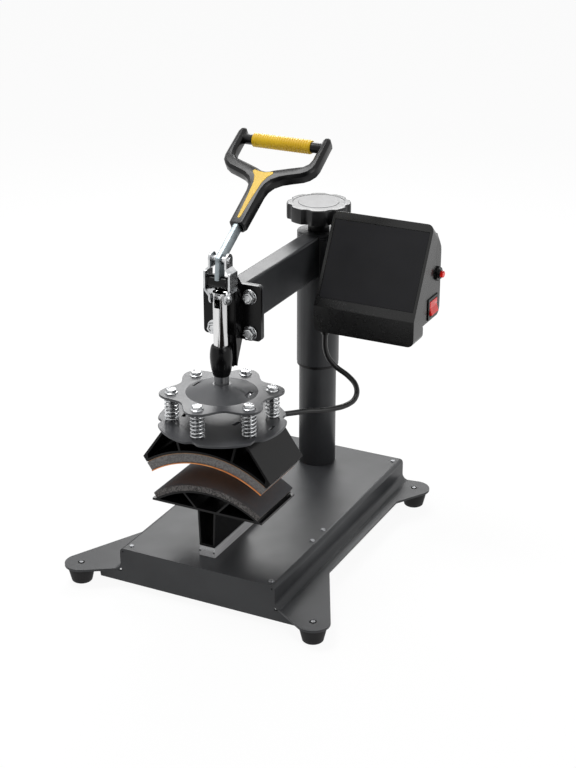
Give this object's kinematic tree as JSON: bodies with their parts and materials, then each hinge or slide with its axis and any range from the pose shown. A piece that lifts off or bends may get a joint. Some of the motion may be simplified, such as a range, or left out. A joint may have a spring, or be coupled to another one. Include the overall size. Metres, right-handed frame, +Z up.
{
  "type": "cap heat press",
  "caption": "Swing-arm heat press for caps: curved heater on a sprung toggle plunger over a curved padded platen, folded steel base, post and tilted control box.",
  "frame": {"origin": "on the floor, under the middle of the base's feet", "axes": "+X to the machine's right (the control box side), +Y to the back (the post), +Z up"},
  "size_m": [0.366, 0.422, 0.5405],
  "materials": {
    "base_paint": "satin grey powder coat",
    "black_paint": "semi-gloss black paint",
    "sheet_paint": "satin dark grey coating",
    "zinc_steel": "bright zinc plating",
    "ground_steel": "ground and polished",
    "dark_steel": "oiled",
    "aluminium_rail": "mill finish with a fine grain",
    "block_metal": "rough sawn",
    "bronze": "plain",
    "rubber": "matt",
    "pad_foam": "fine open texture",
    "grip_black": "fine grain",
    "grip_yellow": "ribbed",
    "box_plastic": "fine grain",
    "black_plastic": "smooth",
    "knob_plastic": "moulded",
    "display_gloss": "polished, switched off",
    "board_green": "solder mask",
    "relay_blue": "moulded",
    "red_plastic": "translucent red",
    "heater_mat": "glass cloth",
    "heater_face": "smooth coated glass cloth",
    "cable_sheath": "satin"
  },
  "bodies": {
    "base": {"base_plate": "base_paint", "rubber_feet": "rubber", "foot_screws": "zinc_steel", "post": "base_paint", "post_bolt": "zinc_steel", "lead_nut": "dark_steel", "platen_rail": "aluminium_rail", "rail_end_cover": "aluminium_rail", "rail_screws": "zinc_steel", "plate_screws": "zinc_steel"},
    "platen": {"platen_support": "black_paint", "platen_pad": "pad_foam", "platen_slider": "dark_steel"},
    "lift_collar": {"sleeve_bushes": "black_plastic", "thrust_washer": "bronze"},
    "adjust_screw": {"knob": "knob_plastic", "knob_stem": "knob_plastic", "lead_screw": "dark_steel"},
    "arm": {"swing_sleeve": "base_paint", "sleeve_cap": "base_paint", "arm_beam": "base_paint", "arm_end_plate": "base_paint", "clamp_bracket": "black_paint", "plunger_guide": "black_paint", "bracket_bolts": "zinc_steel", "bracket_nuts": "zinc_steel", "pivot_pin": "zinc_steel", "box_bracket": "base_paint", "box_bezel": "box_plastic", "box_rear_shell": "box_plastic", "display_panel": "display_gloss", "control_board": "board_green", "heater_relay": "relay_blue", "switch_frame": "black_plastic", "breaker_body": "black_plastic", "power_inlet": "black_plastic", "box_screws": "zinc_steel", "box_gland": "black_plastic", "heater_cable": "cable_sheath"},
    "handle": {"lever": "zinc_steel", "link_pin": "zinc_steel", "grip_frame": "grip_black", "grip_inlay": "grip_yellow", "grip_rod": "black_plastic", "grip_sleeve": "grip_yellow"},
    "links": {"toggle_links": "zinc_steel"},
    "plunger_head": {"plunger": "ground_steel", "plunger_pin": "zinc_steel", "star_plate": "sheet_paint", "plunger_nut": "zinc_steel"},
    "heater": {"spring_plate": "sheet_paint", "head_bolts": "zinc_steel", "head_springs": "zinc_steel", "heater_housing": "black_paint", "heater_block": "block_metal", "heating_mat": "heater_mat", "heater_sheet": "heater_face", "heater_gland": "black_plastic"},
    "power_rocker": {"rocker": "red_plastic"},
    "reset_plunger": {"reset_button": "red_plastic"}
  },
  "joints": [
    {"name": "platen_slide", "type": "slide", "parent": "base", "child": "platen", "axis": [0, 1, 0], "range_m": [0, 0.026]},
    {"name": "arm_lift", "type": "slide", "parent": "base", "child": "lift_collar", "axis": [0, 0, 1], "range_m": [0, 0.016]},
    {"name": "knob_turn", "type": "hinge", "parent": "lift_collar", "child": "adjust_screw", "pos_m": [0, 0.1585, 0.41], "axis": [0, 0, 1], "range_deg": [0, 2880]},
    {"name": "arm_swing", "type": "hinge", "parent": "lift_collar", "child": "arm", "pos_m": [0, 0.1585, 0.3], "axis": [0, 0, 1], "range_deg": [-90, 90]},
    {"name": "handle_turn", "type": "hinge", "parent": "arm", "child": "handle", "pos_m": [0, -0.1115, 0.4], "axis": [1, 0, 0], "range_deg": [0, 117.5]},
    {"name": "link_turn", "type": "hinge", "parent": "handle", "child": "links", "pos_m": [0, -0.10852, 0.42704], "axis": [1, 0, 0], "range_deg": [-81, 0]},
    {"name": "head_slide", "type": "slide", "parent": "arm", "child": "plunger_head", "axis": [0, 0, -1], "range_m": [0, 0.0285], "deforming": ["heater_cable"]},
    {"name": "heater_float", "type": "slide", "parent": "plunger_head", "child": "heater", "axis": [0, 0, 1], "range_m": [0, 0.004], "stiffness_N_per_m": 4000, "springref_m": -0.004, "deforming": ["head_springs"]},
    {"name": "rocker_tip", "type": "hinge", "parent": "arm", "child": "power_rocker", "pos_m": [0.1692, 0.129, 0.3175], "axis": [0, 1, 0], "range_deg": [0, 16]},
    {"name": "reset_push", "type": "slide", "parent": "arm", "child": "reset_plunger", "axis": [-1, 0, 0], "range_m": [0, 0.0035], "stiffness_N_per_m": 400, "springref_m": -0.001}
  ],
  "couplings": [
    {"joint": "knob_turn", "follows": "arm_lift", "rad_per_m": 3141.6},
    {"joint": "link_turn", "follows": "handle_turn", "ratio": -0.68842},
    {"joint": "head_slide", "follows": "handle_turn", "m_per_rad": 0.013886}
  ]
}
